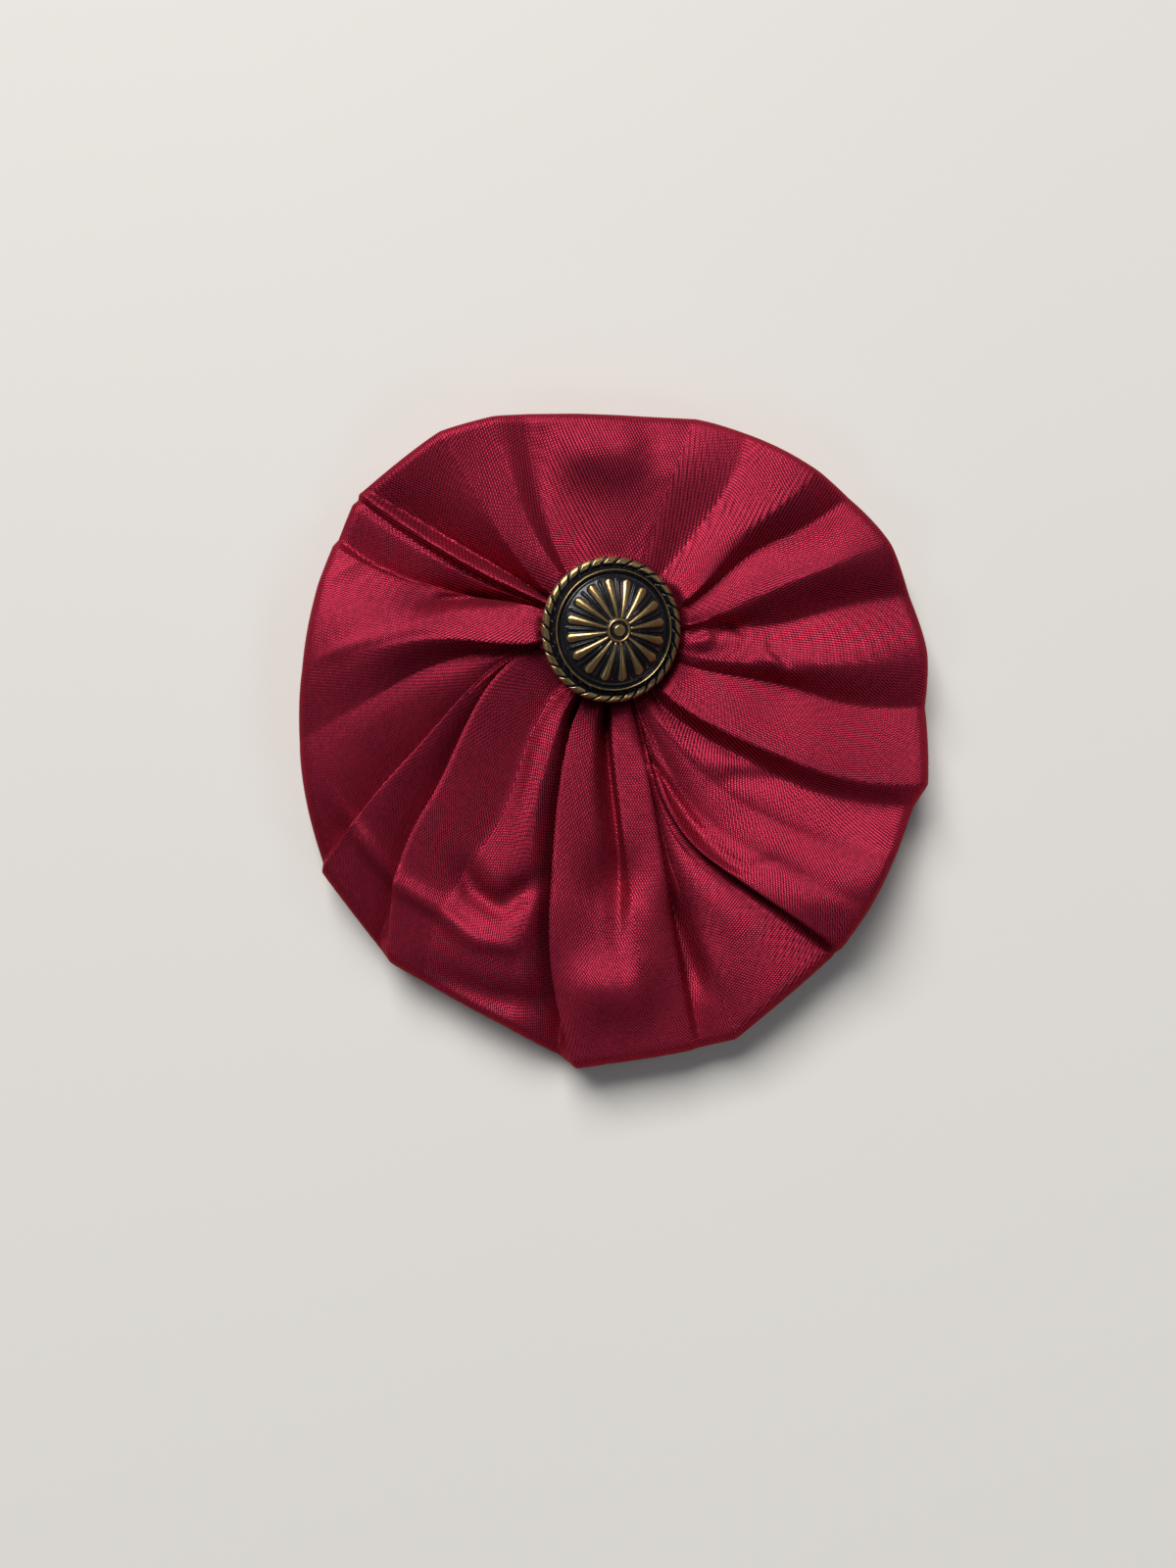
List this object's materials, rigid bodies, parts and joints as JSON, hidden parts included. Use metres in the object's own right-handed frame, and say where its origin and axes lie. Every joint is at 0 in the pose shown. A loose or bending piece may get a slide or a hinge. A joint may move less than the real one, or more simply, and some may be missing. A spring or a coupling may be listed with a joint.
{
  "type": "fabric brooch",
  "caption": "Round gathered cloth puff worn as a brooch, with a domed cast metal button over its gathers and a bar pin behind.",
  "frame": {"origin": "on the table, under the middle of the puff's outline, with the brooch lying on its back", "axes": "+X to the right of the face, +Y towards its top, +Z out of its face"},
  "size_m": [0.1032, 0.107, 0.0183],
  "materials": {
    "red_cloth": "soft sheen of a fine twill",
    "aged_brass": "antique, dark in the hollows",
    "pin_metal": "nickel plate"
  },
  "bodies": {
    "root": {"puff": "red_cloth", "button": "aged_brass", "brooch_pin": "pin_metal"}
  },
  "joints": []
}
